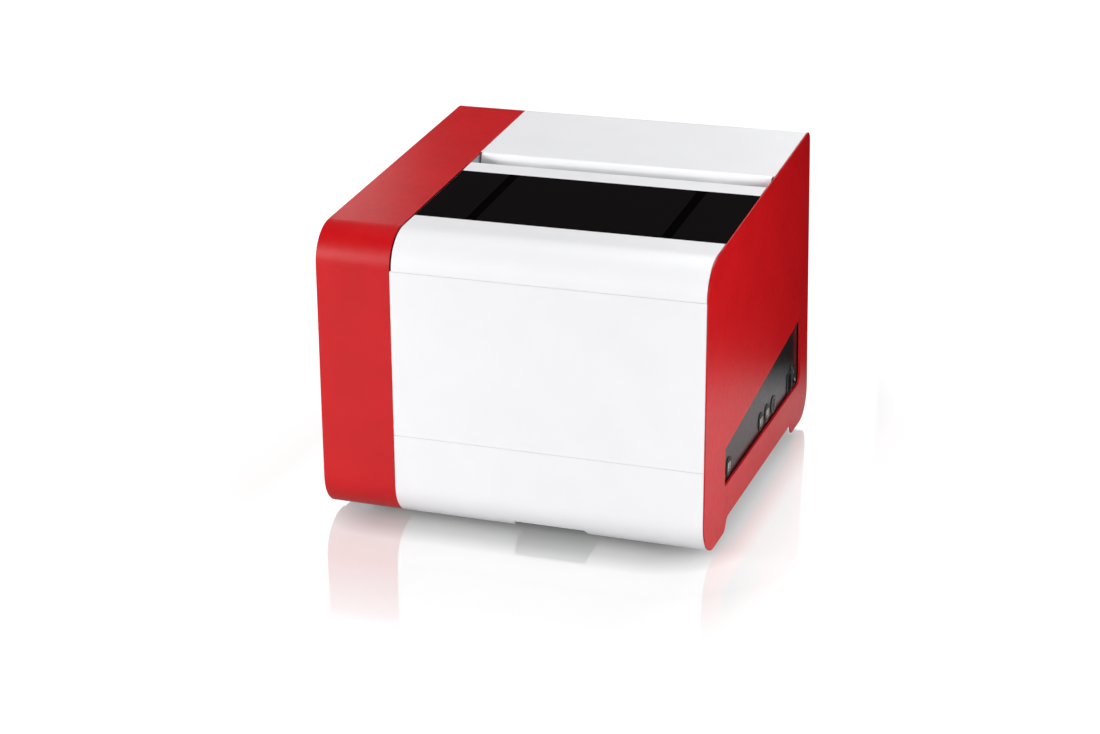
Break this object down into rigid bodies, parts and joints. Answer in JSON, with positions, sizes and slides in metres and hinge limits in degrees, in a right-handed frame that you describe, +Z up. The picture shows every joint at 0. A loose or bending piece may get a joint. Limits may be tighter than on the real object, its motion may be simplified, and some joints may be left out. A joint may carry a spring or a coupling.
{
  "type": "microarray analyzer",
  "caption": "Benchtop microarray analyzer: red folded wrap and side panel, white front, hinged hood with a smoked glass, pull-out drawer, pipetting gantry over a deck, side connection recess.",
  "frame": {"origin": "on the table, under the middle of the machine's bounding box", "axes": "+X to the right seen from the front, +Y from the front to the rear, +Z up"},
  "size_m": [0.482, 0.5198, 0.4098],
  "materials": {
    "red_paint": "satin",
    "white_paint": "satin",
    "smoked_glass": "polished",
    "zinc_steel": "satin",
    "bright_steel": "polished",
    "anodised": "satin",
    "dark_paint": "satin",
    "black_plastic": "matte",
    "white_plastic": "matte",
    "clear_plastic": "polished",
    "grey_plastic": "matte",
    "board_green": "satin",
    "wire": "polished",
    "rubber": "matte",
    "black_rubber": "matte"
  },
  "bodies": {
    "housing": {"left_wrap": "red_paint", "left_side_panel": "red_paint", "right_side_panel": "red_paint", "front_panel": "white_paint", "rear_cover": "white_paint", "rear_panel": "white_paint", "base_tray": "zinc_steel", "feet": "rubber", "left_frame_plate": "zinc_steel", "right_frame_plate": "zinc_steel", "bay_divider": "zinc_steel", "deck_plate": "zinc_steel", "hinge_beam": "zinc_steel", "hinge_pins": "bright_steel", "hood_bumpers": "black_rubber", "runner_left": "zinc_steel", "runner_right": "zinc_steel", "connector_plate": "dark_paint", "data_socket_front": "black_plastic", "data_socket_middle": "black_plastic", "data_socket_rear": "black_plastic", "round_socket": "black_plastic", "mains_inlet": "black_plastic", "inlet_screws": "bright_steel", "cell_rack": "white_plastic", "array_cells": "white_plastic", "reagent_cartridge": "white_plastic", "wash_station": "white_plastic", "carousel_motor": "black_plastic", "scanner_housing": "black_plastic", "objective_lens": "black_plastic", "gantry_beam": "anodised", "x_rail": "bright_steel", "drive_belt": "black_rubber", "belt_motor": "black_plastic", "syringe_pump": "white_plastic", "syringe_barrel": "clear_plastic", "power_supply": "anodised", "main_board": "board_green", "fan_frame": "black_plastic", "fan_guard": "wire"},
    "hood": {"hood_frame": "white_paint", "hood_glass": "smoked_glass", "hood_arm_left": "anodised", "hood_arm_right": "anodised"},
    "drawer": {"drawer_front": "white_paint", "drawer_tray": "zinc_steel", "drawer_rail_left": "zinc_steel", "drawer_rail_right": "zinc_steel", "waste_bin": "grey_plastic"},
    "rocker": {"rocker": "black_plastic"},
    "x_carriage": {"x_carriage": "anodised"},
    "y_slider": {"y_slider": "anodised"},
    "z_head": {"z_head": "anodised", "pipette_tip": "white_plastic"},
    "drive_pulley": {"drive_pulley": "anodised"},
    "idler_pulley": {"idler_pulley": "anodised"},
    "carousel": {"carousel": "anodised"},
    "fan_rotor": {"fan_rotor": "black_plastic"},
    "syringe_plunger": {"syringe_plunger": "white_plastic"}
  },
  "joints": [
    {"name": "hood_hinge", "type": "hinge", "parent": "housing", "child": "hood", "pos_m": [0.04625, 0.02105, 0.37407], "axis": [-1, 0, 0], "range_deg": [0, 78]},
    {"name": "drawer_slide", "type": "slide", "parent": "housing", "child": "drawer", "axis": [0, -1, 0], "range_m": [0, 0.26]},
    {"name": "power_switch", "type": "hinge", "parent": "housing", "child": "rocker", "pos_m": [0.2317, 0.19455, 0.082], "axis": [0, 1, 0], "range_deg": [0, 18]},
    {"name": "gantry_x", "type": "slide", "parent": "housing", "child": "x_carriage", "axis": [1, 0, 0], "range_m": [-0.048, 0.2145]},
    {"name": "arm_y", "type": "slide", "parent": "x_carriage", "child": "y_slider", "axis": [0, 1, 0], "range_m": [-0.072, 0]},
    {"name": "head_z", "type": "slide", "parent": "y_slider", "child": "z_head", "axis": [0, 0, -1], "range_m": [0, 0.035]},
    {"name": "drive_pulley_spin", "type": "hinge", "parent": "housing", "child": "drive_pulley", "pos_m": [-0.118, 0.06605, 0.322], "axis": [0, 1, 0], "range_deg": [-2030, 470]},
    {"name": "idler_pulley_spin", "type": "hinge", "parent": "housing", "child": "idler_pulley", "pos_m": [0.2105, 0.06605, 0.322], "axis": [0, 1, 0], "range_deg": [-2030, 470]},
    {"name": "carousel_spin", "type": "hinge", "parent": "housing", "child": "carousel", "pos_m": [0.1525, -0.14195, 0.193], "axis": [0, 0, 1], "continuous": true},
    {"name": "fan_spin", "type": "hinge", "parent": "housing", "child": "fan_rotor", "pos_m": [0.04625, 0.23951, 0.266], "axis": [0, 0.9957, 0.0924], "continuous": true},
    {"name": "plunger_slide", "type": "slide", "parent": "housing", "child": "syringe_plunger", "axis": [0, 0, 1], "range_m": [0, 0.03]}
  ],
  "couplings": [
    {"joint": "drive_pulley_spin", "follows": "gantry_x", "rad_per_m": -163.93},
    {"joint": "idler_pulley_spin", "follows": "gantry_x", "rad_per_m": -163.93}
  ]
}
